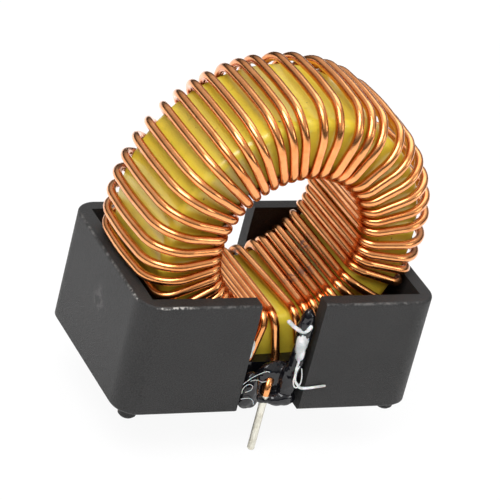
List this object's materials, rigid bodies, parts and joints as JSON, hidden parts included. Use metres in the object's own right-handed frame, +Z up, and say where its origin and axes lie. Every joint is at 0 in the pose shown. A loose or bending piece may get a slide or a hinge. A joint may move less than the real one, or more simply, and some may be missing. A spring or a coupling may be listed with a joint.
{
  "type": "toroidal inductor",
  "caption": "Upright toroidal choke: a painted iron powder ring wound with copper wire, standing in an open moulded base with slotted sides and through-hole leads.",
  "frame": {"origin": "where the front lead's axis crosses the board, level with the soles of the four feet", "axes": "+Z up from the board, +X along the housing's long side, +Y from the front lead to the rear lead"},
  "size_m": [0.0266, 0.0167, 0.0313],
  "materials": {
    "housing_plastic": "fine spark-eroded matte",
    "core_paint": "glossy yellow paint over pressed iron powder",
    "enamelled_copper": "copper wire under clear enamel",
    "solder": "tinned, satin",
    "black_resin": "glossy black resin",
    "hot_melt": "milky, half clear"
  },
  "bodies": {
    "root": {"base_housing": "housing_plastic", "toroid_core": "core_paint", "copper_winding": "enamelled_copper", "front_lead_solder": "solder", "rear_lead_solder": "solder", "epoxy_bed": "black_resin", "front_epoxy": "black_resin", "rear_epoxy": "black_resin", "hot_melt_bead": "hot_melt", "hot_melt_patch": "hot_melt", "hot_melt_strings": "hot_melt"}
  },
  "joints": []
}
